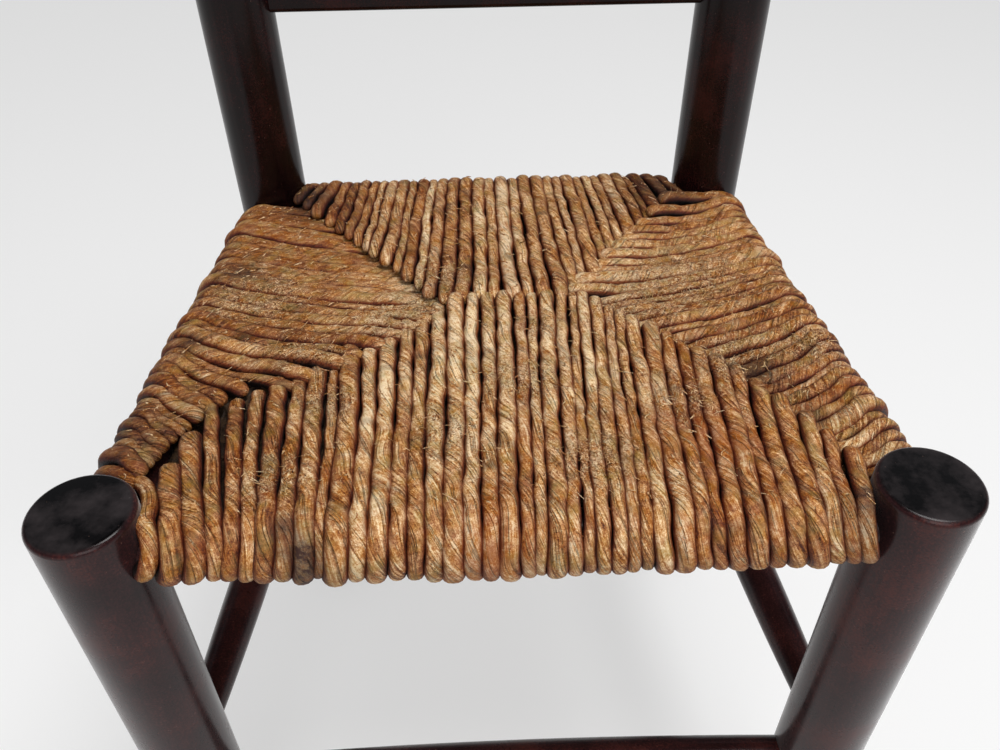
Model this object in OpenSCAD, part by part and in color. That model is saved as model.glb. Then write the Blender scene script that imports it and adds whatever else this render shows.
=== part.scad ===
// Post-and-rung dining chair with round posts, a slatted back and a seat wound from rush cord.
// Millimetres, +Z up, the chair faces -Y. The origin is on the floor, under the middle of the chair.

/* [Front legs] */
// Height of the front legs, whose tops stand free at the seat's corners
leg_h = 450; // [410:5:500]
// Diameter of the front legs
leg_d = 50; // [44:1:58]
// Distance between the front legs' axes
front_span = 390; // [350:5:460]

/* [Rear posts] */
// Diameter of the rear posts
post_d = 49; // [44:1:58]
// Distance between the rear posts' axes, level with the tops of the front legs
rear_span = 328; // [300:2:380]
// Distance from the front legs' axes back to the rear posts' axes, at the same level
seat_depth = 335; // [300:5:400]
// Angle by which each rear post spreads outwards towards its top, in degrees
rear_splay = 0.7; // [0:0.1:2.5]
// Angle by which the rear posts lean back, in degrees
rear_rake = 1.3; // [0:0.1:4]
// Height of the rear posts above the top slat
post_rise = 23; // [15:1:60]

/* [Turned edges] */
// Radius of the eased edge round the top of each leg and post
rim_r = 3; // [1:0.5:6]
// Radius of the eased edge round each foot
foot_rim_r = 2; // [0.5:0.5:4]

/* [Seat rails] */
// Diameter of the four rails that carry the seat
rail_d = 24; // [20:1:30]
// Diameter of the rails' tenons
rail_tenon_d = 14; // [10:1:18]
// Drop from the tops of the front legs to the front rail's axis
front_rail_drop = 27; // [22:1:45]
// Drop from the same level to the rear rail's axis
rear_rail_drop = 37; // [25:1:55]
// Drop from the same level to the side rails' axes at the front legs
side_drop_front = 28; // [22:1:45]
// Drop from the same level to the side rails' axes at the rear posts
side_drop_rear = 42; // [25:1:60]

/* [Rungs] */
// Diameter of the rungs at mid length, where they swell
rung_mid_d = 27.5; // [24:0.5:34]
// Diameter of the rungs where they meet the legs
rung_end_d = 21; // [18:0.5:23]
// Diameter of the rungs' tenons
rung_tenon_d = 15; // [11:1:17]
// Height of the front rung's axis
front_rung_z = 198; // [120:2:260]
// Height of the rear rung's axis
rear_rung_z = 198; // [120:2:260]
// Height of the side rungs' axes
side_rung_z = 230; // [120:2:300]

/* [Back slats] */
// Number of slats in the back
slat_count = 3; // [3:1:4]
// Height of each slat
slat_h = 62; // [45:1:80]
// Thickness of each slat
slat_t = 16; // [12:1:20]
// Gap between one slat and the next
slat_gap = 40; // [20:1:60]
// Height of the lowest slat's lower edge above the tops of the front legs
slat_rise = 111; // [60:1:160]
// Radius of the slats' eased long edges
slat_edge_r = 3; // [1:0.5:5]
// Thickness of the slats' tenons
slat_tenon_t = 8; // [6:0.5:10]
// Shoulder above and below each slat's tenons
slat_shoulder = 7; // [3:1:12]
// Depth to which the slats' tenons enter the posts
slat_tenon_len = 18; // [12:1:21]

/* [Rush seat] */
// Diameter of the twisted rush cord
cord_d = 7.9; // [6:0.1:10]
// Least gap between one turn of cord and the next
turn_gap = 0.2; // [0.1:0.1:1]
// Gap between the cord and the rail that it is wound round
wrap_gap = 0.15; // [0.1:0.05:0.5]
// How much less the cord's radius is where it is pulled tight round a rail
bend_squeeze = 0.1; // [0.05:0.05:0.4]
// Gap between two panels of cord along their mitre
mitre_gap = 0.3; // [0.1:0.1:1]
// Angle by which the upper and lower layers draw together inwards, in degrees
layer_taper = 1.2; // [0:0.1:2.5]
// Length of the ridge in the middle, where the front cords meet the rear ones
ridge_len = 85; // [40:1:120]
// Distance by which that ridge lies behind the middle of the seat
ridge_back = 12; // [0:1:30]
// Gap between the stuffing and the cord round it
stuffing_gap = 0.3; // [0.2:0.1:1]

/* [Fits] */
// Glue line between a tenon and the wall of its mortise
glue_gap = 0.1; // [0.05:0.05:0.3]
// Space left at a tenon's tip, and between two tenons that meet in one leg
tip_gap = 1; // [0.5:0.1:3]
// Gap between a coped shoulder and the leg that it is cut to fit
shoulder_gap = 0.15; // [0.05:0.05:0.4]

/* [Hidden] */
$fn = 96;

WOOD = "#3a1a14";
RUSH = "#b08a55";
STUFFING = "#c9b184";

leg_r = leg_d / 2;
post_r = post_d / 2;
rail_r = rail_d / 2;
slat_pitch = slat_h + slat_gap;
lowest_slat_z = leg_h + slat_rise;
post_h = lowest_slat_z + (slat_count - 1) * slat_pitch + slat_h + post_rise;
lean = seat_depth + tan(rear_rake) * (post_h - rim_r - leg_h);
front_y = -(lean + post_r - leg_r) / 2;
// How far a piece that is trimmed or used as a cutter runs past the other one
past = 40;
// Number of steps in which a rung's swell is turned
rung_steps = 26;
// Numbers of facets round one cord, and round its bend over a rail
cord_fn = 24;
wrap_fn = 64;

// The rear post's axis at height z: its distance from the chair's centre plane, and its Y
function post_x(z) = rear_span / 2 + tan(rear_splay) * (z - leg_h);
function post_y(z) = front_y + seat_depth + tan(rear_rake) * (z - leg_h);
// Points on the axis of a front leg and of a rear post, on side -1 (left) or 1 (right)
function leg_point(side, z) = [side * front_span / 2, front_y, z];
function post_point(side, z) = [side * post_x(z), post_y(z), z];

// Ends of the four rails and of the rungs, on the axes of the legs that hold them
front_rail_z = leg_h - front_rail_drop;
rear_rail_z = leg_h - rear_rail_drop;
function side_rail_ends(side) =
    [leg_point(side, leg_h - side_drop_front), post_point(side, leg_h - side_drop_rear)];
front_rail_ends = [leg_point(-1, front_rail_z), leg_point(1, front_rail_z)];
rear_rail_ends = [post_point(-1, rear_rail_z), post_point(1, rear_rail_z)];
front_rung_ends = [leg_point(-1, front_rung_z), leg_point(1, front_rung_z)];
rear_rung_ends = [post_point(-1, rear_rung_z), post_point(1, rear_rung_z)];
function side_rung_ends(side) = [leg_point(side, side_rung_z), post_point(side, side_rung_z)];

// Turns +Z onto the line from p to q and moves the origin to p
module along(p, q) {
    d = q - p;
    translate(p)
        rotate([0, acos(d.z / norm(d)), atan2(d.y, d.x)])
            children();
}

// ---------- legs and posts ----------

// A round turned blank of radius r, with both ends' edges eased
module turned_blank(r, length, top_rim, foot_rim) {
    rotate_extrude() {
        translate([0, foot_rim])
            square([r, length - top_rim - foot_rim]);
        square([r - foot_rim, length / 2]);
        translate([0, length / 2])
            square([r - top_rim, length / 2]);
        translate([r - top_rim, length - top_rim])
            circle(top_rim);
        translate([r - foot_rim, foot_rim])
            circle(foot_rim);
    }
}

// The space of a front leg, grown by a gap: what a rail or rung end is coped to
module leg_space(side, gap) {
    translate(leg_point(side, -past))
        cylinder(r = leg_r + gap, h = leg_h + 2 * past);
}

// The space of a rear post, grown by a gap
module post_space(side, gap) {
    low = post_point(side, -past);
    high = post_point(side, post_h + past);
    along(low, high)
        cylinder(r = post_r + gap, h = norm(high - low));
}

module front_leg(side) {
    color(WOOD)
        difference() {
            translate(leg_point(side, 0))
                turned_blank(leg_r, leg_h, rim_r, foot_rim_r);
            leg_mortises(side);
        }
}

// A rear post leans and spreads, so its foot is sawn level with the floor
module rear_post(side) {
    sink = post_r * (tan(rear_rake) + tan(rear_splay));
    low = post_point(side, -sink);
    high = post_point(side, post_h);
    color(WOOD)
        difference() {
            along(low, high)
                turned_blank(post_r, norm(high - low), rim_r, foot_rim_r);
            translate(post_point(side, -past) - [past, past, 0])
                cube([2 * past, 2 * past, past]);
            post_mortises(side);
        }
}

// ---------- rails and rungs ----------

// Angle in plan by which the side rails and side rungs stray from square to the front ones
side_skew = abs(atan((front_span - rear_span) / 2 / seat_depth));
// Distance from a leg's axis at which two mortises that enter it level with each other would
// just touch at their tips' corners
function mortise_clearance(tenon_d) =
    (tenon_d / 2 + glue_gap) * cos(side_skew) / (1 - sin(side_skew));

// Tenons on the two ends of a bar. r1 and r2 are the radii of the legs at its ends. A tenon
// stops short of the leg's axis, so that it never meets the one that enters from the side.
module bar_tenons(ends, r1, r2, tenon_d, gap, tip) {
    length = norm(ends[1] - ends[0]);
    reach = mortise_clearance(tenon_d) + tip_gap;
    along(ends[0], ends[1]) {
        translate([0, 0, reach - tip])
            cylinder(d = tenon_d + 2 * gap, h = r1 - reach + tip + tenon_d / 2);
        translate([0, 0, length - r2 - tenon_d / 2])
            cylinder(d = tenon_d + 2 * gap, h = r2 - reach + tip + tenon_d / 2);
    }
}

// The mortises in one front leg
module leg_mortises(side) {
    bar_tenons(front_rail_ends, leg_r, leg_r, rail_tenon_d, glue_gap, tip_gap / 2);
    bar_tenons(side_rail_ends(side), leg_r, post_r, rail_tenon_d, glue_gap, tip_gap / 2);
    bar_tenons(front_rung_ends, leg_r, leg_r, rung_tenon_d, glue_gap, tip_gap / 2);
    bar_tenons(side_rung_ends(side), leg_r, post_r, rung_tenon_d, glue_gap, tip_gap / 2);
}

// The mortises in one rear post, with those of the slats
module post_mortises(side) {
    bar_tenons(rear_rail_ends, post_r, post_r, rail_tenon_d, glue_gap, tip_gap / 2);
    bar_tenons(side_rail_ends(side), leg_r, post_r, rail_tenon_d, glue_gap, tip_gap / 2);
    bar_tenons(rear_rung_ends, post_r, post_r, rung_tenon_d, glue_gap, tip_gap / 2);
    bar_tenons(side_rung_ends(side), leg_r, post_r, rung_tenon_d, glue_gap, tip_gap / 2);
    for (i = [0:slat_count - 1])
        slat_tenons(i, glue_gap, tip_gap);
}

// A plain round rail, before its shoulders are coped
module rail_body(ends) {
    length = norm(ends[1] - ends[0]);
    along(ends[0], ends[1])
        cylinder(d = rail_d, h = length);
}

// A rung that swells from its ends to its middle, its radius falling off with the square of
// the distance from the middle
module rung_body(ends) {
    length = norm(ends[1] - ends[0]);
    half = length / 2 - leg_r;
    swell = (rung_mid_d - rung_end_d) / 2;
    function rung_r(z) = rung_mid_d / 2 - swell * pow((z - length / 2) / half, 2);
    along(ends[0], ends[1])
        rotate_extrude()
            polygon([
                [0, 0],
                for (i = [0:rung_steps]) [rung_r(length * i / rung_steps), length * i / rung_steps],
                [0, length]
            ]);
}

module front_seat_rail() {
    color(WOOD) {
        difference() {
            rail_body(front_rail_ends);
            leg_space(-1, shoulder_gap);
            leg_space(1, shoulder_gap);
        }
        bar_tenons(front_rail_ends, leg_r, leg_r, rail_tenon_d, 0, 0);
    }
}

module rear_seat_rail() {
    color(WOOD) {
        difference() {
            rail_body(rear_rail_ends);
            post_space(-1, shoulder_gap);
            post_space(1, shoulder_gap);
        }
        bar_tenons(rear_rail_ends, post_r, post_r, rail_tenon_d, 0, 0);
    }
}

module side_seat_rail(side) {
    color(WOOD) {
        difference() {
            rail_body(side_rail_ends(side));
            leg_space(side, shoulder_gap);
            post_space(side, shoulder_gap);
        }
        bar_tenons(side_rail_ends(side), leg_r, post_r, rail_tenon_d, 0, 0);
    }
}

module front_rung() {
    color(WOOD) {
        difference() {
            rung_body(front_rung_ends);
            leg_space(-1, shoulder_gap);
            leg_space(1, shoulder_gap);
        }
        bar_tenons(front_rung_ends, leg_r, leg_r, rung_tenon_d, 0, 0);
    }
}

module rear_rung() {
    color(WOOD) {
        difference() {
            rung_body(rear_rung_ends);
            post_space(-1, shoulder_gap);
            post_space(1, shoulder_gap);
        }
        bar_tenons(rear_rung_ends, post_r, post_r, rung_tenon_d, 0, 0);
    }
}

module side_rung(side) {
    color(WOOD) {
        difference() {
            rung_body(side_rung_ends(side));
            leg_space(side, shoulder_gap);
            post_space(side, shoulder_gap);
        }
        bar_tenons(side_rung_ends(side), leg_r, post_r, rung_tenon_d, 0, 0);
    }
}

// ---------- back slats ----------

function slat_mid_z(i) = lowest_slat_z + i * slat_pitch + slat_h / 2;

// Puts a slat's own frame at the middle of slat i, leaning back with the posts
module at_slat(i) {
    z = slat_mid_z(i);
    translate([0, post_y(z), z])
        rotate([-rear_rake, 0, 0])
            children();
}

// The two tenons of slat i, grown by a gap all round and by tip at their ends
module slat_tenons(i, gap, tip) {
    half = post_x(slat_mid_z(i)) - post_r + slat_tenon_len + tip;
    tenon_h = slat_h - 2 * slat_shoulder;
    at_slat(i)
        translate([-half, -slat_tenon_t / 2 - gap, -tenon_h / 2 - gap])
            cube([2 * half, slat_tenon_t + 2 * gap, tenon_h + 2 * gap]);
}

// A flat board with eased long edges, coped to the posts, with a tenon at each end
module back_slat(i) {
    half = post_x(slat_mid_z(i));
    color(WOOD) {
        difference() {
            at_slat(i)
                rotate([90, 0, 90])
                    translate([0, 0, -half])
                        linear_extrude(2 * half)
                            eased_rectangle(slat_t, slat_h, slat_edge_r);
            post_space(-1, shoulder_gap);
            post_space(1, shoulder_gap);
        }
        slat_tenons(i, 0, 0);
    }
}

// The slats between the lower one and the top one share a node
module middle_back_slats() {
    for (i = [1:slat_count - 2])
        back_slat(i);
}

module eased_rectangle(width, height, r) {
    square([width - 2 * r, height], center = true);
    square([width, height - 2 * r], center = true);
    for (x = [-1, 1], y = [-1, 1])
        translate([x * (width / 2 - r), y * (height / 2 - r)])
            circle(r);
}

// ---------- rush seat ----------

cord_r = cord_d / 2;
// Radius of the cord's centre line where it passes round a rail
wrap_r = rail_r + wrap_gap + cord_r;
ridge_y = front_y + seat_depth / 2 + ridge_back;
// Longest run of cord from a rail inwards, before the mitres trim it
run_len = front_span;

// The two ends of the ridge, in plan
ridge_left = [-ridge_len / 2, ridge_y];
ridge_right = [ridge_len / 2, ridge_y];

// One turn of cord: in along the top, round the rail and back underneath. The rail lies on
// the local X axis, and the seat's middle is towards local +Y.
module cord_turn() {
    for (flip = [0, 1])
        mirror([0, 0, flip])
            translate([0, wrap_r * sin(layer_taper), wrap_r * cos(layer_taper)])
                rotate([-90 - layer_taper, 0, 0])
                    cylinder(r = cord_r, h = run_len, $fn = cord_fn);
    rotate([0, -90, 0])
        rotate([0, 0, 180 - layer_taper])
            rotate_extrude(angle = 180 + 2 * layer_taper, $fn = wrap_fn)
                translate([wrap_r, 0])
                    circle(cord_r - bend_squeeze, $fn = cord_fn);
}

// The local frame of one panel: X runs along its rail and Y points inwards, tilted by dip
module at_rail(ends, dip) {
    d = ends[1] - ends[0];
    flat = norm([d.x, d.y]);
    translate(ends[0])
        rotate([0, 0, atan2(d.y, d.x)])
            rotate([0, -atan2(d.z, flat), 0])
                rotate([-dip, 0, 0])
                    children();
}

// All the turns between two legs of radii r1 and r2, as many as the rail's clear length holds
module cord_turns(ends, r1, r2) {
    clear = norm(ends[1] - ends[0]) - r1 - r2;
    turns = floor(clear / (cord_d + turn_gap));
    pitch = clear / turns;
    for (i = [0:turns - 1])
        translate([r1 + pitch * (i + 0.5), 0, 0])
            cord_turn();
}

// A tall prism over a plan outline drawn inside its mitre lines by a gap
module over(outline) {
    translate([0, 0, leg_h - 3 * past])
        linear_extrude(6 * past)
            polygon(outline);
}

// Outline in plan of the panel whose rail runs from a to b, with the panel on its left and
// the ridge's ends as its inner corners. It runs out past the rail, and each of its edges is
// moved in by a gap.
function panel_outline(a, b, inner, gap) =
    let (
        rail = (b - a) / norm(b - a),
        out = [rail.y, -rail.x] * 2 * past
    )
    inset(concat([a, a + out, b + out, b], inner), gap);

// A convex outline whose points run anticlockwise, with each edge moved in by a gap
function inset(points, gap) = [
    for (i = [0:len(points) - 1])
        let (
            before = points[(i + len(points) - 1) % len(points)],
            here = points[i],
            after = points[(i + 1) % len(points)]
        )
        crossing(shifted(before, here, gap), shifted(here, after, gap))
];

// The line from p to q, moved to its left by a distance
function shifted(p, q, distance) =
    let (
        d = (q - p) / norm(q - p),
        n = [-d.y, d.x] * distance
    )
    [p + n, q + n];

// The point where two lines cross, each given by two points
function crossing(l, m) =
    let (
        u = l[1] - l[0],
        v = m[1] - m[0],
        w = m[0] - l[0],
        t = (w.x * v.y - w.y * v.x) / (u.x * v.y - u.y * v.x)
    )
    l[0] + t * u;

front_left = [-front_span / 2, front_y];
front_right = [front_span / 2, front_y];
rear_left = [for (i = [0, 1]) post_point(-1, rear_rail_z)[i]];
rear_right = [for (i = [0, 1]) post_point(1, rear_rail_z)[i]];

function front_outline(gap) =
    panel_outline(front_left, front_right, [ridge_right, ridge_left], gap);
function rear_outline(gap) =
    panel_outline(rear_right, rear_left, [ridge_left, ridge_right], gap);
function left_outline(gap) = panel_outline(rear_left, front_left, [ridge_left], gap);
function right_outline(gap) = panel_outline(front_right, rear_right, [ridge_right], gap);

// Tilt of the front and rear panels, whose runs head for each other's rail
seat_dip = atan((rear_rail_drop - front_rail_drop) / seat_depth);

// The rails' ends in the order that puts the seat's middle on the local +Y side
rear_ends = [rear_rail_ends[1], rear_rail_ends[0]];
left_ends = [side_rail_ends(-1)[1], side_rail_ends(-1)[0]];
right_ends = side_rail_ends(1);

module rush_front() {
    color(RUSH)
        intersection() {
            at_rail(front_rail_ends, seat_dip)
                cord_turns(front_rail_ends, leg_r, leg_r);
            over(front_outline(mitre_gap / 2));
        }
}

module rush_rear() {
    color(RUSH)
        intersection() {
            at_rail(rear_ends, -seat_dip)
                cord_turns(rear_ends, post_r, post_r);
            over(rear_outline(mitre_gap / 2));
        }
}

module rush_left() {
    color(RUSH)
        intersection() {
            at_rail(left_ends, 0)
                cord_turns(left_ends, post_r, leg_r);
            over(left_outline(mitre_gap / 2));
        }
}

module rush_right() {
    color(RUSH)
        intersection() {
            at_rail(right_ends, 0)
                cord_turns(right_ends, leg_r, post_r);
            over(right_outline(mitre_gap / 2));
        }
}

// Stuffing of loose rush between the layers of one panel: a wedge from the rail inwards that
// follows the two layers
module stuffing_wedge(ends, dip) {
    length = norm(ends[1] - ends[0]);
    start = rail_r + wrap_gap + stuffing_gap;
    face = rail_r + wrap_gap - stuffing_gap;
    function half_height(u) = (face - u * sin(layer_taper)) / cos(layer_taper);
    at_rail(ends, dip)
        rotate([90, 0, 90])
            linear_extrude(length)
                polygon([
                    [start, -half_height(start)],
                    [run_len, -half_height(run_len)],
                    [run_len, half_height(run_len)],
                    [start, half_height(start)]
                ]);
}

// The stuffing of each panel is trimmed at its mitres, and cut back where a leg stands
module stuffing_front() {
    color(STUFFING)
        difference() {
            intersection() {
                stuffing_wedge(front_rail_ends, seat_dip);
                over(front_outline(stuffing_gap));
            }
            leg_space(-1, stuffing_gap);
            leg_space(1, stuffing_gap);
        }
}

module stuffing_rear() {
    color(STUFFING)
        difference() {
            intersection() {
                stuffing_wedge(rear_ends, -seat_dip);
                over(rear_outline(stuffing_gap));
            }
            post_space(-1, stuffing_gap);
            post_space(1, stuffing_gap);
        }
}

module stuffing_side(side) {
    ends = side < 0 ? left_ends : right_ends;
    color(STUFFING)
        difference() {
            intersection() {
                stuffing_wedge(ends, 0);
                over(side < 0 ? left_outline(stuffing_gap) : right_outline(stuffing_gap));
            }
            leg_space(side, stuffing_gap);
            post_space(side, stuffing_gap);
        }
}

front_leg(-1);  // front_leg_left
front_leg(1);  // front_leg_right
rear_post(-1);  // rear_post_left
rear_post(1);  // rear_post_right
front_seat_rail();
rear_seat_rail();
side_seat_rail(-1);  // side_seat_rail_left
side_seat_rail(1);  // side_seat_rail_right
front_rung();
rear_rung();
side_rung(-1);  // side_rung_left
side_rung(1);  // side_rung_right
back_slat(0);  // lower_back_slat
middle_back_slats();  // middle_back_slat
back_slat(slat_count - 1);  // top_back_slat
rush_front();
rush_rear();
rush_left();
rush_right();
stuffing_front();
stuffing_rear();
stuffing_side(-1);  // stuffing_left
stuffing_side(1);  // stuffing_right
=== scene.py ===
"""Looks of a post-and-rung dining chair: round stained posts and rungs, and a seat wound from
twisted rush cord. Metres, +Z up, the chair faces -Y."""

import math

import bpy
import numpy as np
from mathutils import Matrix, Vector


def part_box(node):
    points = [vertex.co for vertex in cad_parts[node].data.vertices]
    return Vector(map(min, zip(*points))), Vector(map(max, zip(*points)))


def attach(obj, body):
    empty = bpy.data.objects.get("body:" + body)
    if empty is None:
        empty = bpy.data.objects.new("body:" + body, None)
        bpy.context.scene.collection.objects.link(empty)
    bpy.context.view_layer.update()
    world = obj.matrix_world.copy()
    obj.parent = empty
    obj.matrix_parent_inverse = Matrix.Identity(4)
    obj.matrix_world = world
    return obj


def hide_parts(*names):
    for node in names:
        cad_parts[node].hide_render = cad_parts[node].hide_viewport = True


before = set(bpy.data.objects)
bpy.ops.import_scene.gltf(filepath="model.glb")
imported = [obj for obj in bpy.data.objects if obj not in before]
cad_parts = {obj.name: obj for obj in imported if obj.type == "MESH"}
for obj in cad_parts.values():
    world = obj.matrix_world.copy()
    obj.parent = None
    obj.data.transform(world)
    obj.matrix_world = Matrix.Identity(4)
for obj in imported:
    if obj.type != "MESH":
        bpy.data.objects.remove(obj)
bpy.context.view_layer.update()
MM = 0.001

# ---------- Front legs and rear posts ----------
# Round posts turned from a straight-grained hardwood, stained a dark mahogany brown and given
# a thin gloss varnish. The front legs stop just above the seat; the rear ones carry the back.


def linear(colour):
    """An sRGB hex colour as linear RGBA: each channel c becomes ((c + 0.055) / 1.055) ^ 2.4,
    or c / 12.92 where it is very dark."""
    channels = [int(colour[i : i + 2], 16) / 255 for i in (1, 3, 5)]
    return [c / 12.92 if c <= 0.04045 else ((c + 0.055) / 1.055) ** 2.4 for c in channels] + [1]


def add(tree, kind, links=None, stops=(), **settings):
    """Adds a node to a tree. links maps an input to the node or socket that feeds it, and of a
    node the first output in use is taken. A setting whose name is one of the node's own
    properties is put there, and any other goes to the input of that name or number. stops are
    a colour ramp's places and colours."""
    node = tree.nodes.new("ShaderNode" + kind)
    for name, value in settings.items():
        if hasattr(node, name):
            setattr(node, name, value)
        else:
            key = int(name[1:]) if name[0] == "_" else name.replace("_", " ")
            node.inputs[key].default_value = value
    for key, source in (links or {}).items():
        if isinstance(source, bpy.types.Node):
            source = next(output for output in source.outputs if output.enabled)
        tree.links.new(source, node.inputs[key])
    for index, (position, colour) in enumerate(stops):
        if index > 1:
            node.color_ramp.elements.new(1)
        node.color_ramp.elements[index].position = position
        node.color_ramp.elements[index].color = linear(colour)
    return node


def new_material(name):
    """An empty node material, its tree, and its Principled shader already linked to the output."""
    material = bpy.data.materials.new(name)
    material.use_nodes = True
    tree = material.node_tree
    tree.nodes.clear()
    shader = add(tree, "BsdfPrincipled")
    add(tree, "OutputMaterial", {"Surface": shader})
    return material, tree, shader


def stained_wood(name, grain_axis, stains=("#1f1011", "#2e1718", "#4a231f"), dusty=0.36):
    """Gloss varnish over a dark mahogany stain, smooth enough to mirror a pale floor at a
    glancing angle. Under it the stain, given from deep to thin, is cloudy in patches of about
    40 mm, faintly grained 2 mm wide and mottled 1 mm wide, and redder where it has worn thin.
    End grain has drunk the stain and is nearly black; the grey clouds on it are a painted sheen,
    standing in for a reflection. Dust has dried into the varnish as a few pale specks, and a film
    of it, as thick as dusty, greys the wood where it turns away."""
    material, tree, shader = new_material(name)
    place = add(tree, "TexCoord").outputs["Object"]
    stretch = [1.0, 1.0, 1.0]
    stretch[grain_axis] = 0.04
    along = add(tree, "Mapping", {"Vector": place}, Scale=stretch)
    grain = add(tree, "TexNoise", {"Vector": along}, Scale=500, Detail=3, Roughness=0.6)
    clouds = add(tree, "TexNoise", {"Vector": place}, Scale=25, Detail=5, Roughness=0.62)
    specks = add(tree, "TexNoise", {"Vector": place}, Scale=900, Detail=1)
    depth = add(tree, "Mix", {"A": clouds, "B": grain}, Factor=0.22)
    depth = add(tree, "Mix", {"A": depth, "B": specks}, Factor=0.33)
    stain = add(tree, "ValToRGB", {"Fac": depth}, list(zip((0.38, 0.5, 0.64), stains)))
    normal = add(tree, "SeparateXYZ", {"Vector": add(tree, "TexCoord").outputs["Normal"]})
    ends = add(tree, "MapRange", {"Value": normal.outputs[grain_axis]}, From_Min=0.7, From_Max=0.98)
    # Painted sheen: the nearly black end grain turns grey in clouds, standing in for a reflection
    end_grain_and_painted_sheen = add(tree, "ValToRGB", {"Fac": clouds}, [(0.4, "#060506"), (0.66, "#393334")])
    darker = add(tree, "Mix", {"Factor": ends, "A": stain, "B": end_grain_and_painted_sheen}, data_type="RGBA")
    dust = add(tree, "MapRange", {"Value": specks}, From_Min=0.78, From_Max=0.82)
    colour = add(tree, "Mix", {"Factor": dust, "A": darker}, data_type="RGBA", B=linear("#6e564c"))
    tree.links.new(colour.outputs["Result"], shader.inputs["Base Color"])
    smears = add(tree, "MapRange", {"Value": clouds}, From_Min=0.3, To_Min=0.18, To_Max=0.42)
    tree.links.new(smears.outputs["Result"], shader.inputs["Roughness"])
    shader.inputs["IOR"].default_value = 1.5
    # An old varnish mirrors less than a fresh one
    shader.inputs["Specular IOR Level"].default_value = 0.2
    shader.inputs["Sheen Weight"].default_value = dusty
    shader.inputs["Sheen Roughness"].default_value = 0.3
    bump = add(tree, "Bump", {"Height": grain}, Strength=0.2, Distance=0.12 * MM)
    tree.links.new(bump.outputs["Normal"], shader.inputs["Normal"])
    return material


def finish_node(node, material):
    """Puts a material on a CAD node."""
    for material_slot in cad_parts[node].material_slots:
        material_slot.material = material


leg_wood = stained_wood("stained_mahogany_leg", 2)
for node in ("front_leg_left", "front_leg_right"):
    finish_node(node, leg_wood)

# The posts and slats of the back are coloured darker than the rest, partly a deeper stain and
# partly painted shade, as less light reaches the back; they are wiped clean.
DEEP_STAINS_AND_SHADE = ("#090303", "#140606", "#2e100e")
post_wood = stained_wood("stained_mahogany_post", 2, DEEP_STAINS_AND_SHADE, 0)
for node in ("rear_post_left", "rear_post_right"):
    finish_node(node, post_wood)

# ---------- Seat rails ----------
# Four round rails tenoned into the posts. The rush hides them, apart from what shows
# through the gaps between two turns of cord.

across_wood = stained_wood("stained_mahogany_across", 0)
inward_wood = stained_wood("stained_mahogany_front_to_back", 1)
for node in ("front_seat_rail", "rear_seat_rail"):
    finish_node(node, across_wood)
for node in ("side_seat_rail_left", "side_seat_rail_right"):
    finish_node(node, inward_wood)

# ---------- Rungs ----------
# Turned rungs of the same wood, thickest in the middle, that tie the legs together at mid
# height. Their round tenons are glued into the legs.

for node in ("front_rung", "rear_rung"):
    finish_node(node, across_wood)
for node in ("side_rung_left", "side_rung_right"):
    finish_node(node, inward_wood)

# ---------- Back slats ----------
# Flat slats of the same wood, their long edges eased, mortised into the rear posts and
# coloured as dark as those are, partly by painted shade.

slat_wood = stained_wood("stained_mahogany_slat", 0, DEEP_STAINS_AND_SHADE, 0)
for node in ("lower_back_slat", "middle_back_slat", "top_back_slat"):
    finish_node(node, slat_wood)

# ---------- Rush cords ----------
# The seat is one continuous cord, twisted by hand from damp rush leaves as it is wound over and
# under the rails. Its turns form four panels. At each mitre the cords of one panel bend down
# over the ends of the next panel's, which dive beneath them.

CORD = 8.2 * MM  # usual diameter of the cord
PLUMP = 1.13  # thickness of a cord over its share of the rail, as each presses into the next
RAIL = 12 * MM  # radius of a seat rail
WRAP = RAIL + CORD / 2 + 0.1 * MM  # radius of the cord's centre line round a rail
TAPER = 0.021  # slope at which the two layers draw together towards the middle
AROUND = 16  # points in one ring of a cord's surface
chance = np.random.default_rng(11)


def middle(node):
    """Centre of a CAD node's box."""
    low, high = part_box(node)
    return (np.array(low) + np.array(high)) / 2


front_y = middle("front_leg_right")[1]


def plan(*points):
    """Plan points given in millimetres from the line between the front legs' axes, x to the
    right and y backwards, as metres in the chair's frame."""
    return np.array(points) * MM + [0, front_y]


RIDGE = 182 * MM  # how far the ridge lies behind the line between the front legs' axes
# Where the panels meet, in plan: two mitres in front, two behind, and the ridge between them
front_left = plan(
    (-178, 4), (-172, 27), (-159, 60), (-144, 88), (-113, 115), (-89, 132), (-64, 151), (-38, 181)
)
front_right = plan((48, 183), (83, 145), (108, 118), (130, 94), (153, 58), (173, 20), (178, 2))
rear_left = plan((-38, 184), (-62, 221), (-91, 254), (-132, 306), (-146, 326))
rear_right = plan((48, 186), (69, 217), (111, 271), (141, 316), (147, 328))
front_edge = np.concatenate([front_left, front_right])
rear_edge = np.concatenate([rear_left[::-1], rear_right])
left_edge = np.concatenate([front_left, rear_left])
right_edge = np.concatenate([front_right[::-1], rear_right])


def smooth(x, low, high):
    """0 below low, 1 above high, and 3 t^2 - 2 t^3 between them."""
    t = np.clip((x - low) / (high - low), 0, 1)
    return t * t * (3 - 2 * t)


def wander(s, size, *wavelengths):
    """A smooth random function of s: a sum of sines, one for each wavelength, each with its
    own random phase and strength."""
    waves = [
        np.sin(2 * np.pi * (s / length + chance.random())) * chance.uniform(0.6, 1.2)
        for length in wavelengths
    ]
    return size * sum(waves) / math.sqrt(len(waves))


def resample(points, spacing):
    """Points along a polyline, spaced by a function of the arc length. Returns the points and
    their arc lengths."""
    steps = np.linalg.norm(np.diff(points, axis=0), axis=1)
    arc = np.concatenate([[0], np.cumsum(steps)])
    count = np.concatenate([[0], np.cumsum(steps / spacing(arc[1:], arc[-1]))])
    wanted = np.interp(np.linspace(0, count[-1], int(count[-1]) + 1), count, arc)
    return np.stack([np.interp(wanted, arc, column) for column in points.T], axis=1), wanted


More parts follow.
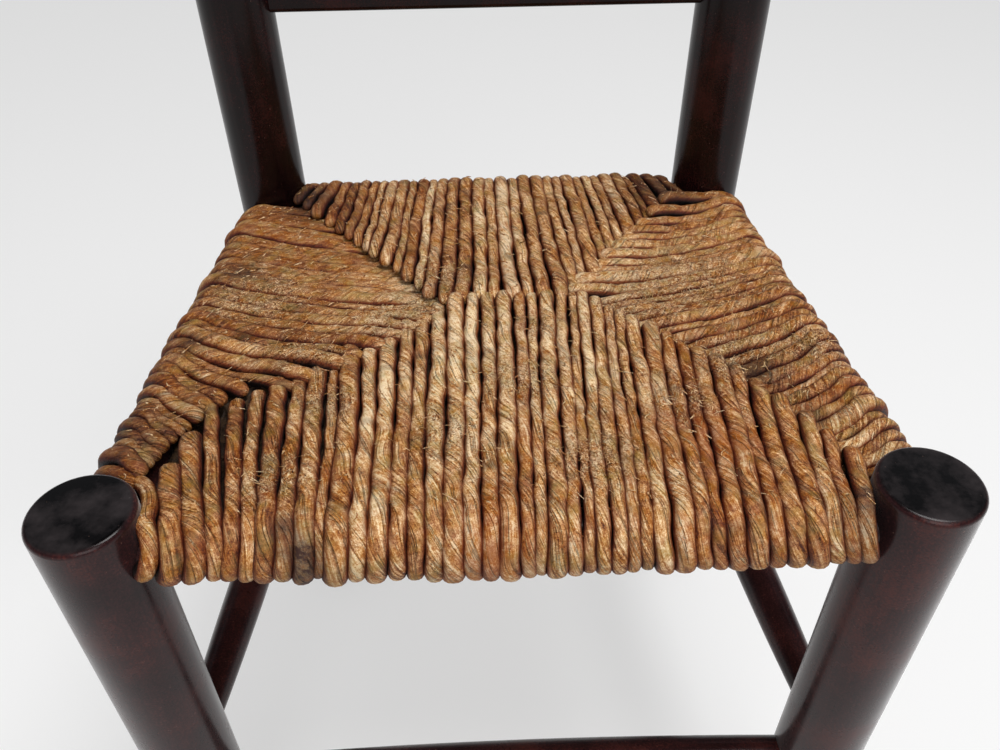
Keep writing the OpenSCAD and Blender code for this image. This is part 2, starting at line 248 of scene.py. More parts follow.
def turn_profile(length, slope, over, reach):
    """One turn of cord seen from the side, as points (u, w) from its upper tip to its lower
    tip, where u runs inwards from the rail's axis and w upwards. The upper run falls by slope
    towards its tip, follows a half circle round the rail, and the lower run comes back. Near
    the mitre a turn that lies over its neighbours is pushed up, and ends in a tight bend down
    past the mitre. One that dives under them is pressed down by as much."""
    push = 2.9 * MM if over else -2.9 * MM
    bend, angle = (4.2 * MM, 1.45) if over else (8 * MM, 0.9)
    start = length + reach - bend
    b = np.linspace(angle, 0, 10)
    tip = np.stack([start + bend * np.sin(b), -slope * start - bend * (1 - np.cos(b))], axis=1)
    u = np.linspace(start, 0, 90)[1:]
    run = np.stack([u, -slope * u], axis=1)
    upper = np.concatenate([tip, run])
    upper[:, 1] += push * smooth(upper[:, 0], length - 30 * MM, length - 5 * MM)
    a = np.linspace(0, np.pi, 60)[1:]
    wrap = np.stack([-WRAP * np.sin(a), WRAP * np.cos(a) - WRAP], axis=1)
    v = np.linspace(0, length - 3 * MM, 60)[1:]
    below = np.stack([v, (2 * TAPER - slope) * v - 2 * WRAP], axis=1)
    return np.concatenate([upper, wrap, below]) + [0, WRAP]


def cord_surface(centre, side, arc, width, worn, lay):
    """A twisted cord. Round each point of the centre line lies a ring of radius
    w/2 (1 + 0.022 cos(2 p + i) + 0.018 cos(3 p + j)), where the phase p = theta + 2 pi s / lay
    turns with the twist, so that its lobes wind round the cord as the leaves do, once in about
    the length lay. A power a little under 1 squares the ring slightly, as its neighbours do.
    The first and last 3.5 mm close as half ellipses. worn, from 0 to 1, presses the upper side
    flat and wide. Returns vertices, faces, the twist vectors and the cosine of theta."""
    ahead = np.gradient(centre, axis=0)
    ahead /= np.linalg.norm(ahead, axis=1, keepdims=True)
    out = np.cross(side, ahead)
    out /= np.linalg.norm(out, axis=1, keepdims=True)
    theta = np.linspace(0, 2 * np.pi, AROUND, endpoint=False)
    lay = lay * chance.uniform(0.85, 1.3)
    phase = theta + (2 * np.pi * arc / lay + wander(arc, 0.8, 50 * MM, 110 * MM))[:, None]
    i, j = chance.uniform(0, 2 * np.pi, 2)
    lobes = 1 + 0.022 * np.cos(2 * phase + i) + 0.018 * np.cos(3 * phase + j)
    end = np.minimum(arc, arc[-1] - arc)
    close = np.sqrt(1 - (1 - np.clip(end / (3.5 * MM), 0, 1)) ** 2)
    radius = (width / 2 * close)[:, None] * lobes
    up, across = (np.sign(v) * np.abs(v) ** 0.85 for v in (np.cos(theta), np.sin(theta)))
    up = up * (1 - 0.45 * worn[:, None] * smooth(np.cos(theta), 0.1, 1))
    across = across * (1 + 0.2 * worn[:, None])
    rings = centre[:, None] + radius[..., None] * (
        up[..., None] * out[:, None] + across[..., None] * side
    )
    rings = rings[1:-1]
    rows = len(rings)
    k = np.arange((rows - 1) * AROUND)
    turn = k // AROUND * AROUND + (k + 1) % AROUND
    quads = np.stack([k, turn, turn + AROUND, k + AROUND], axis=1)
    first = np.arange(AROUND)
    after = (first + 1) % AROUND
    last = (rows - 1) * AROUND
    poles = rows * AROUND
    caps = np.concatenate(
        [
            np.stack([np.full(AROUND, poles), after, first], axis=1),
            np.stack([np.full(AROUND, poles + 1), last + first, last + after], axis=1),
        ]
    )
    vertices = np.concatenate([rings.reshape(-1, 3), centre[[0, -1]]])
    flat = phase[1:-1].ravel()
    stretch = np.repeat(arc[1:-1], AROUND)
    twist = np.stack([np.cos(flat), np.sin(flat), stretch / (CORD / 2)], axis=1) * CORD / 2
    twist = np.concatenate([twist, [[0, 0, arc[0]], [0, 0, arc[-1]]]])
    height = np.concatenate([np.tile(np.cos(theta), rows), [0, 0]])
    return vertices, quads, caps, twist, height


# Places where the seat is stained dark: plan centre, radius and strength
STAINS = [
    (plan((-94, -19))[0], 9 * MM, 1.0),
    (plan((-103, -6))[0], 7 * MM, 0.8),
    (plan((166, -8))[0], 12 * MM, 0.8),
    (plan((-166, 219))[0], 14 * MM, 0.9),
    (plan((-180, 140))[0], 9 * MM, 0.9),
    (plan((143, 99))[0], 16 * MM, 0.8),
    (plan((-136, 312))[0], 22 * MM, 1.0),
    (plan((128, 316))[0], 26 * MM, 0.9),
    (plan((160, 60))[0], 10 * MM, 0.6),
    (plan((-186, 60))[0], 34 * MM, 0.45),
]
# Places where a leaf is foxed red, given the same way
RED_PLACES = [
    (plan((-12, -21))[0], 14 * MM, 1.0),
    (plan((110, 41))[0], 16 * MM, 0.9),
    (plan((-6, 10))[0], 10 * MM, 0.7),
    (plan((80, 60))[0], 14 * MM, 0.6),
]
# Places where the cords are frayed
FRAYS = [
    (plan(point)[0], radius * MM, 1.2)
    for point, radius in (
        ((-31, 56), 14), ((46, 34), 16), ((10, 99), 16), ((-112, 24), 13), ((-95, 83), 14),
        ((-36, 200), 18), ((93, 74), 16), ((20, 150), 12), ((-60, 168), 20), ((-110, 130), 18),
        ((80, 170), 22), ((130, 110), 20), ((120, 200), 30), ((178, 120), 16), ((-150, 190), 26),
    )
]


def spots(place, marks):
    """Sum of soft round marks, each falling off as exp(-(distance / radius)^2)."""
    return sum(
        strength * np.exp(-((place[:, :2] - centre) ** 2).sum(axis=1) / radius**2)
        for centre, radius, strength in marks
    )


def uneven(count):
    """Places from 0 to 1 of the middles of count cords of uneven thickness laid side by side,
    and their thicknesses, which are 1 on average."""
    thick = np.clip(chance.normal(1, 0.19, count), 0.65, 1.4)
    thick *= count / thick.sum()
    return (np.cumsum(thick) - thick / 2) / count, thick


def wind(
    rail_points,
    thick,
    tips,
    over,
    reach,
    slope,
    bow,
    wear,
    lay=60 * MM,
    spread=0,
    lift=0,
    pile=0,
    hook=0,
):
    """All the turns of one panel. rail_points are where their centre lines cross above the
    rail's axis, in space, and tips where they end, in plan. Each has its thickness as a share
    of the usual one, whether it lies over the next panel, and how far it reaches past its tip.
    They fall inwards by slope, wear gives the wear along a centre line, and the leaves wind
    once round a turn in about the length lay. bow bends a turn sideways in plan towards its
    tip. Round the rail the turns spread apart by a share of their place along it, and lift
    draws their lower side up. pile raises those near the back, and hook turns the last 20 mm
    towards the front. Returns the cords' surfaces, centre lines, arc lengths and wear."""
    pieces = []
    along_rail = rail_points - rail_points.mean(axis=0)
    lift = np.broadcast_to(lift, len(tips))
    hook = np.broadcast_to(hook, len(tips))
    for k, (rail_point, tip, lies_over, extra, bend) in enumerate(
        zip(rail_points, tips, over, reach, bow)
    ):
        inward = tip - rail_point[:2]
        length = np.linalg.norm(inward)
        inward = np.append(inward / length, 0)
        side = np.cross(-inward, [0, 0, 1])
        profile = turn_profile(length, slope, lies_over, extra)
        sway = -bend * np.clip(profile[:, 0] / length, 0, 1) * (1 - profile[:, 0] / length)
        line = rail_point + np.outer(profile[:, 0], inward)
        line[:, 2] += profile[:, 1] + pile * smooth(rail_point[1] - front_y, 235 * MM, 305 * MM)
        round_rail = smooth(WRAP - profile[:, 1], 0, 2 * WRAP)
        line += np.outer(sway, side) + np.outer(round_rail * spread, along_rail[k])
        line[:, 1] -= hook[k] * smooth(profile[:, 0], length - 20 * MM, length + 4 * MM)
        line[:, 2] += lift[k] * round_rail * smooth(-profile[:, 0], -2 * WRAP, WRAP)
        top = 3.2 * WRAP + length

        def spacing(s, total):
            """0.8 mm at a turn's ends, 1.9 mm on its upper side and 4.5 mm underneath."""
            near_end = smooth(np.minimum(s, total - s), 3 * MM, 7 * MM)
            return (0.8 + 1.1 * near_end + 2.6 * smooth(s, top, top + 10 * MM)) * MM

        centre, arc = resample(line, spacing)
        centre += np.outer(wander(arc, 0.45 * MM, 21 * MM, 33 * MM, 73 * MM), side)
        centre += np.outer(wander(arc, 0.5 * MM, 140 * MM), side)
        centre[:, 2] += wander(arc, 0.3 * MM, 38 * MM, 85 * MM) + chance.normal(0, 0.35 * MM)
        plump = thick[k] * PLUMP + wander(arc, 0.06, 17 * MM, 34 * MM, 70 * MM)
        plump += wander(arc, 0.06, 150 * MM)
        worn = wear(centre)
        surface = cord_surface(centre, side, arc, CORD * plump, worn, lay)
        pieces.append((surface, centre, arc, worn))
    return pieces


FIBRE_STEPS = 5  # places along a torn end of leaf, each with three corners
FIBRE_POINTS = 3 * FIBRE_STEPS


def loose_fibres(pieces, count):
    """Torn ends of leaf that stand off the cords: tapered three-sided tubes 1.5 to 5 mm long,
    closed at both ends. Each springs from a point on a cord's upper side, most often where the
    seat is worn, runs at an angle to the cord and curls. With s from 0 to 1 along it, it lies
    at root + L s (ahead cos a + side sin a) + L c s^2 side + h s (1.4 - s) out."""
    points, ahead, out, chances = [], [], [], []
    for (vertices, _, _, _, height), centre, _, worn in pieces:
        rings = centre[1:-1]
        around = vertices[:-2] - np.repeat(rings, AROUND, axis=0)
        points.append(vertices[:-2])
        ahead.append(np.repeat(np.gradient(rings, axis=0), AROUND, axis=0))
        out.append(around)
        rough = 0.12 + np.repeat(worn[1:-1], AROUND) * 0.7 + 0.8 * spots(vertices[:-2], FRAYS)
        facing_up = around[:, 2] > 0.6 * np.abs(around).sum(axis=1)
        chances.append(rough * smooth(height[:-2], 0.1, 0.6) * facing_up)
    points, ahead, out, chances = (np.concatenate(a) for a in (points, ahead, out, chances))
    picked = chance.choice(len(points), count, p=chances / chances.sum())
    ahead = ahead[picked] / np.linalg.norm(ahead[picked], axis=1, keepdims=True)
    out = out[picked] / np.linalg.norm(out[picked], axis=1, keepdims=True)
    across = np.cross(out, ahead)
    long = (1.5 + 3.5 * chance.random((count, 1)) ** 1.8) * MM
    angle = chance.normal(0.35, 0.4, (count, 1)) + np.pi * chance.integers(0, 2, (count, 1))
    curl = chance.normal(0, 0.7, (count, 1))
    lift = (0.3 + 1.1 * chance.random((count, 1)) ** 2) * MM
    s = np.linspace(0, 1, FIBRE_STEPS)[None, :, None]
    heading = np.cos(angle) * ahead + np.sin(angle) * across
    line = points[picked][:, None] + s * (long * heading)[:, None]
    line = line + s**2 * (long * curl * across)[:, None] + s * (1.4 - s) * (lift * out)[:, None]
    line = line - 0.25 * MM * out[:, None]
    thin = (0.5 - 0.3 * s) * MM * chance.uniform(0.6, 1.4, (count, 1, 1))
    corners = [
        line + thin * (math.cos(t) * out[:, None] + math.sin(t) * np.cross(heading, out)[:, None])
        for t in (0, 2.094, 4.189)
    ]
    vertices = np.stack(corners, axis=2).reshape(-1, 3)
    first = np.arange(count)[:, None] * FIBRE_POINTS
    k = first + np.arange(FIBRE_POINTS - 3)[None]
    turned = k - k % 3 + (k + 1) % 3
    quads = np.stack([k, turned, turned + 3, k + 3], axis=2).reshape(-1, 4)
    caps = np.concatenate([first + [[2, 1, 0]], first + [[-3, -2, -1]] + FIBRE_POINTS])
    return vertices, quads, caps


def lay_up(name, pieces, tone_and_light, fibres):
    """Joins turns of cord and a number of loose fibres into one mesh object. tone_and_light is the
    usual tone of its cords, from 0 to 1, set per panel lighter or darker as painted light and
    shade. Its attributes are twist, the place on the wound leaf; shade, the cord's own tone with
    that painted light, redness and stain; and lie, the height round the cord, which sets the
    painted shade between cords, the wear and the fraying."""
    vertices, quads, triangles, twists, shades, lies = [], [], [], [], [], []
    base = 0
    for (points, quad, cap, twist, height), centre, arc, worn in pieces:
        rings = (len(points) - 2) // AROUND
        own = np.repeat(np.arange(1, rings + 1), AROUND)
        own = np.concatenate([own, [0, len(arc) - 1]])
        tone = chance.normal(0, 0.09) + wander(arc, 0.08, 33 * MM, 80 * MM)
        # The tone falls towards the sides, and rises in the middle behind the front rim, where it is
        # partly rubbed pale and partly painted light
        off_middle = np.abs(centre[:, 0])
        tone_shift = 0.13 * smooth(off_middle, 40 * MM, 150 * MM)
        rubbed = 1 - smooth(off_middle, 40 * MM, 110 * MM)
        tone_shift -= 0.16 * smooth(centre[:, 1] - front_y, 30 * MM, 110 * MM) * rubbed
        tone = tone_and_light - tone_shift + tone * (1 - 0.7 * worn)
        red = 0.6 * chance.random() ** 3 + 0.35 * smooth(wander(arc, 1, 24 * MM, 61 * MM), 0.4, 1.4)
        blot = smooth(wander(arc, 1, 19 * MM, 47 * MM, 113 * MM), 1.0, 1.7)
        vertices.append(points)
        quads.append(quad + base)
        triangles.append(cap + base)
        twists.append(twist + chance.uniform(0, 3, 3) * [0, 0, 1])
        redness = np.clip(red[own] + spots(points, RED_PLACES), 0, 1)
        stain = np.clip(0.5 * blot[own] + spots(points, STAINS), 0, 1)
        frayed = np.clip(spots(points, FRAYS) * smooth(height, -0.2, 0.5), 0, 1)
        shades.append(np.stack([tone[own] + 0.1 * frayed, redness, stain], axis=1))
        # The height in lie sets the painted shade between the cords; wear raises it, so worn cords get
        # less
        lies.append(np.stack([height + 0.2 * worn[own], worn[own], frayed], axis=1))
        base += len(points)
    points, quad, cap = loose_fibres(pieces, fibres)
    vertices.append(points)
    quads.append(quad + base)
    triangles.append(cap + base)
    twists.append(points)
    own_tone = np.repeat(chance.normal(0.72, 0.16, fibres), FIBRE_POINTS)
    own_red = np.repeat(chance.random(fibres) ** 3, FIBRE_POINTS)
    shades.append(np.stack([own_tone, own_red, 0 * own_red], axis=1))
    lies.append(np.tile([1.0, 0.0, 0.0], (len(points), 1)))
    mesh = bpy.data.meshes.new(name)
    faces = np.concatenate(quads).tolist() + np.concatenate(triangles).tolist()
    mesh.from_pydata(np.concatenate(vertices), [], faces)
    for label, values in (("twist", twists), ("shade", shades), ("lie", lies)):
        attribute = mesh.attributes.new(label, "FLOAT_VECTOR", "POINT")
        attribute.data.foreach_set("vector", np.concatenate(values).ravel())
    mesh.shade_smooth()
    piece = bpy.data.objects.new(name, mesh)
    bpy.context.collection.objects.link(piece)
    return piece


def twisted_rush():
    """Dry bulrush leaf, twisted while damp and polished by use: straw to reddish brown, mostly
    matt. Its fibres run along the leaf a little under 1 mm apart, and so wind round the cord;
    folds about 3 mm wide leave thin creases along them, darkened as painted shade. Its skin has
    lifted in dry flakes some 1.5 mm across, most of all where it is frayed. Where the seat is
    rubbed the leaves lie matted in streaks along the cord. Towards each cord's flanks and
    underside the colour is painted dark and red, as painted shade deep between the cords, and
    less so where wear has flattened the cord."""
    material, tree, shader = new_material("twisted_rush")
    twist = add(tree, "Attribute", attribute_name="twist").outputs["Vector"]
    shade = add(tree, "Attribute", attribute_name="shade").outputs["Vector"]
    shade = add(tree, "SeparateXYZ", {"Vector": shade}).outputs
    lie = add(tree, "Attribute", attribute_name="lie").outputs["Vector"]
    lie = add(tree, "SeparateXYZ", {"Vector": lie}).outputs
    place = add(tree, "TexCoord").outputs["Object"]

    leaf = add(tree, "Mapping", {"Vector": twist}, Scale=(1, 1, 0.04))
    fibre = add(tree, "TexNoise", {"Vector": leaf}, Scale=1000, Detail=3, Roughness=0.8)
    fold = add(tree, "TexNoise", {"Vector": leaf}, Scale=300, Detail=2, Roughness=0.5)
    scuff = add(tree, "TexNoise", {"Vector": twist}, Scale=330, Detail=4, Roughness=0.7)
    grime = add(tree, "TexNoise", {"Vector": place}, Scale=90, Detail=4, Roughness=0.6)
    across = add(tree, "Mapping", {"Vector": place}, Scale=(0.2, 1, 1))
    matted = add(tree, "TexNoise", {"Vector": across}, Scale=420, Detail=5, Roughness=0.9)
    hue = add(tree, "TexNoise", {"Vector": place}, Scale=160, Detail=3)
    flaky = add(
        tree, "TexNoise", {"Vector": place}, Scale=620, Detail=3, Roughness=0.8, Distortion=1.5
    )

    fresh = add(tree, "Mix", {"A": fold, "B": fibre}, Factor=0.7)
    fresh = add(tree, "Mix", {"A": fresh, "B": scuff}, Factor=0.34)
    rubbed = add(tree, "Mix", {"A": matted, "B": grime}, Factor=0.25)
    worn = add(tree, "Math", {0: lie["Y"]}, operation="MULTIPLY", _1=0.8)
    mixed = add(tree, "Mix", {"Factor": worn, "A": fresh, "B": rubbed})
    torn = add(tree, "MapRange", {"Value": scuff}, From_Min=0.42, From_Max=0.52)
    torn = add(tree, "Math", {0: lie["Z"], 1: torn}, operation="MULTIPLY_ADD", _2=0.3)
    mixed = add(tree, "Mix", {"Factor": torn, "A": mixed, "B": flaky})
    centred = add(tree, "Math", {0: mixed}, operation="SUBTRACT", _1=0.5)
    tone = add(tree, "Math", {0: centred, 2: shade["X"]}, operation="MULTIPLY_ADD", _1=4.9)
    straw = add(
        tree,
        "ValToRGB",
        {"Fac": tone},
        [(0.0, "#3a1606"), (0.26, "#764122"), (0.52, "#aa7448"), (0.76, "#d0a476"), (1.0, "#f2dab4")],
    )
    foxing = add(tree, "Math", {0: shade["Y"], 1: grime}, operation="MULTIPLY")
    young = add(tree, "MapRange", {"Value": grime}, From_Min=0.48, From_Max=0.68, To_Max=0.5)
    greener = add(tree, "Mix", {"Factor": young, "A": straw}, data_type="RGBA", B=linear("#97844e"))
    foxed = add(tree, "Mix", {"Factor": foxing, "A": greener}, data_type="RGBA", B=linear("#93431f"))
    vivid = add(
        tree, "MapRange", {"Value": hue}, From_Min=0.35, From_Max=0.65, To_Min=1, To_Max=1.15
    )
    foxed = add(tree, "HueSaturation", {"Saturation": vivid, "Color": foxed})
    # Painted shade in the leaf's creases: thin dark lines along the folds, left out in patches
    beside = add(tree, "Math", {0: fold}, operation="SUBTRACT", _1=0.5)
    beside = add(tree, "Math", {0: beside}, operation="ABSOLUTE")
    crease = add(tree, "MapRange", {"Value": beside}, From_Max=0.024, To_Min=0.5)
    flaw = add(tree, "MapRange", {"Value": scuff}, From_Min=0.38, From_Max=0.5, To_Min=1, To_Max=0)
    crease = add(tree, "Mix", {"Factor": flaw, "A": crease}, B=1.0)
    soil = add(tree, "Math", {0: shade["Z"], 1: scuff}, operation="MULTIPLY")
    soil = add(tree, "Math", {0: soil}, operation="MULTIPLY", _1=1.8, use_clamp=True)
    soiled = add(tree, "Mix", {"Factor": soil, "A": foxed}, data_type="RGBA", B=linear("#3b2117"))
    # Painted shade between the cords: the colour darkens and reddens towards each cord's flanks and
    # underside, less where wear has flattened it
    painted_groove_shade = add(
        tree, "ValToRGB", {"Fac": lie["X"]}, [(0.14, "#1a0500"), (0.58, "#9c6038"), (0.93, "#ffffff")]
    )
    crease_shaded = add(
        tree, "Mix", {"A": soiled, "B": crease}, data_type="RGBA", blend_type="MULTIPLY", Factor=1.0
    )
    colour = add(
        tree, "Mix", {"A": crease_shaded, "B": painted_groove_shade}, data_type="RGBA", blend_type="MULTIPLY", Factor=1.0
    )
    tree.links.new(colour.outputs["Result"], shader.inputs["Base Color"])
    shader.inputs["Roughness"].default_value = 0.55
    shader.inputs["IOR"].default_value = 1.4
    relief = add(tree, "Math", {0: mixed, 1: crease}, operation="ADD")
    bump = add(tree, "Bump", {"Height": relief}, Strength=1.0, Distance=1.5 * MM)
    tree.links.new(bump.outputs["Normal"], shader.inputs["Normal"])
    return material


rush = twisted_rush()


def along_edge(edge, column, at):
    """The other plan coordinate of an edge polyline where its coordinate column equals at."""
    order = np.argsort(edge[:, column])
    return np.interp(at, edge[order, column], edge[order, 1 - column])


def unworn(centre):
    """No wear anywhere along a turn."""
    return np.zeros(len(centre))


# Front panel: 41 turns, which fall towards the lower rear rail. Those of the left corner dive
# under the left panel, apart from three short ones that end free beside the leg; the others lie
# over the right panel.
FRONT_FALL = 0.051
share, thick = uneven(41)
turn = np.arange(41)
rail = middle("front_seat_rail")
FRONT_CLEAR = 339 * MM  # length of rail between the front legs
rim_x = (share - 0.5) * FRONT_CLEAR
rims = np.stack([rim_x, 0 * rim_x + front_y, 0 * rim_x + rail[2]], axis=1)
tip_x = np.interp(share * 41, [0.5, 3.5, 8.5, 16, 25, 40.5], [-172, -157, -108, -38, 48, 170]) * MM
tips = np.stack([tip_x, along_edge(front_edge, 0, tip_x)], axis=1)
tips[:4] = plan((-180, 31), (-163, 31), (-160, 54), (-155, 80))
free = (turn > 0) & (turn < 4)
over = free | (turn > 15)
reach = np.where(over, np.where(turn > 24, 5, 2), 5) * MM
# Beside the legs the lower side is drawn up, most of all beside the left one
lift = np.where(rim_x < 0, 9, 3) * MM * (np.abs(rim_x) / (166 * MM)) ** 1.3
bow = chance.normal(0, 1.2 * MM, 41)
# The first turn is squeezed in beside the left leg and bends round it
rims[0, 0] -= 3 * MM
bow[0] = 17 * MM
front_cords = wind(rims, thick, tips, over, reach, FRONT_FALL, bow, unworn, spread=0.045, lift=lift)

# Rear panel: 34 turns, thinner beside the posts, which rise a little to the ridge
REAR_FALL = -0.009
share, thick = uneven(34)
turn = np.arange(34)
thick = np.minimum(thick, np.interp(np.minimum(turn, 33 - turn), [0, 4], [0.85, 1.4]))
rail = middle("rear_seat_rail")
REAR_CLEAR = 279 * MM  # length of rail between the rear posts
rim_x = (share - 0.5) * REAR_CLEAR
rims = np.stack([rim_x, 0 * rim_x + rail[1], 0 * rim_x + rail[2]], axis=1)
tip_x = np.interp(share * 34, [0.5, 12.5, 21.5, 33.5], [-141, -43, 43, 145]) * MM
tips = np.stack([tip_x, along_edge(rear_edge, 0, tip_x)], axis=1)
over = turn < 22
reach = np.where(over, np.where(turn < 13, 4, 3), 5) * MM
bow = chance.normal(0, 1.2 * MM, 34)
rear_cords = wind(rims, thick, tips, over, reach, REAR_FALL, bow, unworn)


def side_panel(sign, edge, front_over, rear_over, rubbed):
    """The 34 turns of the left (sign -1) or right (sign 1) panel. A turn leaves its rail square
    and then bears towards the front, so that its tip lies nearer the front than its rim. Those
    near the front leg are thinner, and on the left they stop short of the mitre and leave dark
    holes there. Sitters have rubbed the turns flat behind the middle, most of all on the left."""
    share, thick = uneven(34)
    back = (25 + share * 285) * MM  # the rail is clear for 285 mm behind the front leg
    thick = thick * np.interp(back, [30 * MM, 110 * MM], [0.86 if sign < 0 else 0.95, 1.03])
    # The rail's axis runs inwards and down from the front leg's axis to the rear post's
    rims = np.stack(
        [
            sign * np.interp(back, [0, 335 * MM], [195 * MM, 164 * MM]),
            back + front_y,
            np.interp(back, [0, 335 * MM], [422 * MM, 408 * MM]),
        ],
        axis=1,
    )
    bearing = np.interp(back / MM, [29, 60, 120, 205, 285, 306], [8, 15, 26, 26, 19, 4]) * MM
    tip_y = rims[:, 1] - bearing
    tips = np.stack([along_edge(edge, 1, tip_y), tip_y], axis=1)
    in_front = tip_y < front_y + RIDGE
    over = np.where(in_front, front_over, rear_over).astype(bool)
    reach = np.where(over, 5.5, 5) * MM
    if sign < 0:
        reach = np.where(tip_y < front_y + 100 * MM, -11 * MM, reach)
    hook = np.where(over & in_front, 6 * MM, 0)

    def wear(centre):
        """Wear of a turn's upper side: it grows towards the back and inwards from the rail, and
        spares the last few centimetres before the mitre."""
        back = centre[:, 1] - front_y
        from_mitre = np.abs(centre[:, 0] - centre[0, 0]) + 40 * MM * smooth(back, 150 * MM, 200 * MM)
        deep = 0.3 * smooth(back, 110 * MM, 160 * MM) + 0.7 * smooth(back, 175 * MM, 230 * MM)
        deep = deep * smooth(from_mitre, 12 * MM, 42 * MM)
        inside = smooth(185 * MM - np.abs(centre[:, 0]), 0, 18 * MM)
        return rubbed * deep * inside * (centre[:, 2] > 418 * MM)

    bow = sign * bearing * -0.9 + chance.normal(0, 1.5 * MM, 34)
    return wind(rims, thick, tips, over, reach, TAPER, bow, wear, 28 * MM, pile=5 * MM, hook=hook)


left_cords = side_panel(-1, left_edge, True, False, 0.8)
right_cords = side_panel(1, right_edge, False, True, 0.5)

# Each panel's usual tone is set lighter or darker as painted light and shade: lightest on the right,
# darkest at the rear.
for name, pieces, tone_and_light, fibres in (
    ("rush_front", front_cords, 0.61, 1300),
    ("rush_rear", rear_cords, 0.53, 700),
    ("rush_left", left_cords, 0.57, 1300),
    ("rush_right", right_cords, 0.66, 1400),
):
    cords = lay_up(name + "_cords", pieces, tone_and_light, fibres)
    cords.data.materials.append(rush)
    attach(cords, "root")
    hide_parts(name)

# ---------- Stuffing ----------
# Broken rush, too short to twist, packed by hand between the two layers of cord so that the
# seat is firm. Little of it shows, deep in the gaps between the cords.


def broken_rush():
    """Short crumpled leaves, dull brown and unpolished, in flakes some 4 mm wide that lie every
    way. They are coloured darker than the cords, partly dirt and partly painted shade for the
    deep gaps between the cords."""
    material, tree, shader = new_material("broken_rush")
    place = add(tree, "TexCoord").outputs["Object"]
    warp = add(tree, "TexNoise", {"Vector": place}, Scale=60, Detail=2)
    bent = add(tree, "Mix", {"A": place, "B": warp.outputs["Color"]}, data_type="VECTOR", Factor=0.04)
    flakes = add(tree, "TexVoronoi", {"Vector": bent}, Scale=250)
    leaf = add(tree, "Mix", {"A": flakes.outputs["Color"], "B": warp.outputs["Color"]}, data_type="RGBA")
    # Dark brown, partly dirt and partly painted shade for the deep gaps between the cords
    colour = add(tree, "ValToRGB", {"Fac": leaf}, [(0.2, "#1c110a"), (0.75, "#50371f")])
    tree.links.new(colour.outputs["Color"], shader.inputs["Base Color"])
    shader.inputs["Roughness"].default_value = 0.75
    bump = add(tree, "Bump", {"Height": flakes}, Strength=1.0, Distance=1.5 * MM)
    tree.links.new(bump.outputs["Normal"], shader.inputs["Normal"])
    return material


# Where the packing has sunk beside the left leg: plan centre, radius and depth
SUNK = [(plan((-166, 48))[0], 24 * MM, 9 * MM), (plan((-162, 84))[0], 14 * MM, 8 * MM)]


def packed_lumps(node, name):
    """A lumpy version of a CAD node: its shape meshed in 4 mm squares, with every point moved
    in or out by a sum of sine waves through space, each of a random direction and phase, and
    its upper side lowered where it has sunk."""
    piece = bpy.data.objects.new(name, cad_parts[node].data.copy())
    bpy.context.collection.objects.link(piece)
    remesh = piece.modifiers.new("squares", "REMESH")
    remesh.mode = "VOXEL"
    remesh.voxel_size = 4 * MM
    meshed = bpy.data.meshes.new_from_object(piece.evaluated_get(bpy.context.evaluated_depsgraph_get()))
    piece.modifiers.clear()
    piece.data = meshed
    points = np.empty(len(meshed.vertices) * 3)
    meshed.vertices.foreach_get("co", points)
    points = points.reshape(-1, 3)
    normals = np.empty(points.size)
    meshed.vertices.foreach_get("normal", normals)
    waves = chance.normal(0, 2 * np.pi / (22 * MM), (3, 7))
    lumps = np.sin(points @ waves + chance.uniform(0, 2 * np.pi, 7)).sum(axis=1, keepdims=True)
    points += normals.reshape(-1, 3) * (lumps * 0.28 * MM - 0.6 * MM)
    points[:, 2] -= spots(points, SUNK) * (points[:, 2] > middle(node)[2])
    meshed.vertices.foreach_set("co", points.ravel())
    meshed.update()
    meshed.shade_smooth()
    return piece


packing = broken_rush()
for panel in ("front", "rear", "left", "right"):
    lumps = packed_lumps("stuffing_" + panel, "packed_rush_" + panel)
    lumps.data.materials.clear()
    lumps.data.materials.append(packing)
    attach(lumps, "root")
    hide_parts("stuffing_" + panel)

# ---------- Floor, light and camera ----------
# A plain white floor that the chair stands on, soft light from large lamps, and a camera just
# above and in front of the seat.


def floor_finish():
    """A matt white sheet, which takes the chair's shadow. It shows to the camera and in the
    varnish a little brighter than lamps alone make it, as a sheet lit from all round does."""
    material, tree, shader = new_material("white_sheet")
    shader.inputs["Base Color"].default_value = linear("#bababa")
    shader.inputs["Roughness"].default_value = 1
    shader.inputs["Emission Color"].default_value = linear("#ffffff")
    rays = add(tree, "LightPath").outputs
    seen = add(tree, "Math", {0: rays["Is Camera Ray"], 1: rays["Is Glossy Ray"]}, operation="ADD")
    seen = add(tree, "Math", {0: seen, 1: rays["Is Transmission Ray"]}, operation="ADD", use_clamp=True)
    glow = add(tree, "Math", {0: seen}, operation="MULTIPLY", _1=0.44)
    tree.links.new(glow.outputs["Value"], shader.inputs["Emission Strength"])
    return material


mesh = bpy.data.meshes.new("floor")
far = 6.0  # metres from the chair to the floor's edges
mesh.from_pydata(
    [(-far, -far, 0), (far, -far, 0), (far, far, 0), (-far, far, 0)], [], [(0, 1, 2, 3)]
)
floor = bpy.data.objects.new("floor", mesh)
bpy.context.collection.objects.link(floor)
floor.data.materials.append(floor_finish())

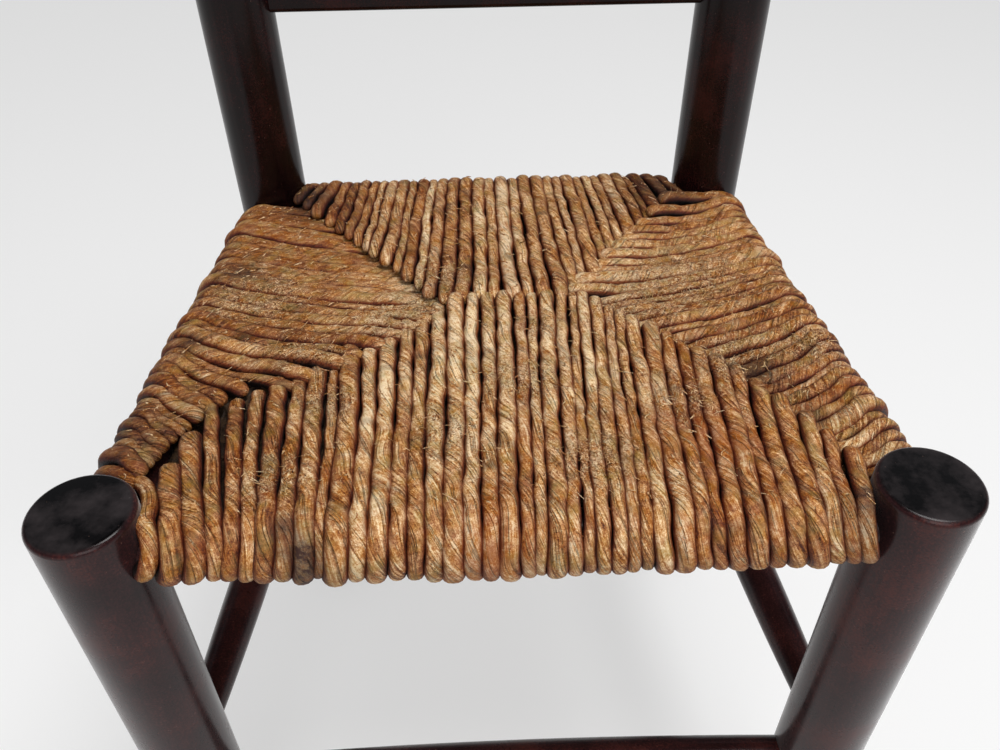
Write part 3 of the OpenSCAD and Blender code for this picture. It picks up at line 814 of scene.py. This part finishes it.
# The room: pale all round for soft light, but what the varnish mirrors darkens with height
world = bpy.data.worlds.new("studio")
bpy.context.scene.world = world
world.use_nodes = True
tree = world.node_tree
tree.nodes.clear()
rays = add(tree, "LightPath").outputs
height = add(tree, "SeparateXYZ", {"Vector": add(tree, "TexCoord").outputs["Generated"]}).outputs["Z"]
mirrored = add(
    tree,
    "ValToRGB",
    {"Fac": height},
    [(0.0, "#e8e8ea"), (0.2, "#77757b"), (0.5, "#4a4c50"), (0.63, "#dfe4ea"), (0.71, "#1c1c1e")],
)
colour = add(
    tree, "Mix", {"Factor": rays["Is Glossy Ray"], "B": mirrored}, data_type="RGBA", A=linear("#f2f2f2")
)
room = add(tree, "Background", {"Color": colour}, Strength=0.5)
add(tree, "OutputWorld", {"Surface": room})


def softbox(name, place, target, size, power):
    """A square area lamp at place, turned to face target."""
    lamp = bpy.data.lights.new(name, "AREA")
    lamp.size = size
    lamp.energy = power
    holder = bpy.data.objects.new(name, lamp)
    bpy.context.collection.objects.link(holder)
    away = np.array(place) - np.array(target)
    across = np.cross([0, 0, 1], away)
    upright = np.cross(away, across)
    axes = [v / np.linalg.norm(v) for v in (across, upright, away)]
    turned = Matrix(np.array(axes).T.tolist()).to_4x4()
    turned.translation = place
    holder.matrix_world = turned


softbox("key", (0.5, -0.25, 2.2), (0, 0, 0.45), 0.8, 23)
softbox("fill", (0.3, -1.8, 1.5), (0, 0, 0.4), 1.4, 17)

camera = bpy.data.cameras.new("camera")
camera.lens = 31.9
camera.sensor_width = 36
camera.clip_start = 0.02
holder = bpy.data.objects.new("camera", camera)
bpy.context.collection.objects.link(holder)
# It looks down by 40 degrees, with a slight turn and a slight roll
turned = (
    Matrix.Rotation(math.radians(-1.66), 4, "Z")
    @ Matrix.Rotation(math.radians(90 - 40.18), 4, "X")
    @ Matrix.Rotation(math.radians(-0.74), 4, "Z")
)
turned.translation = (-11.8 * MM, front_y - 272.8 * MM, 753.7 * MM)
holder.matrix_world = turned
bpy.context.scene.camera = holder
bpy.context.scene.view_settings.view_transform = "Standard"
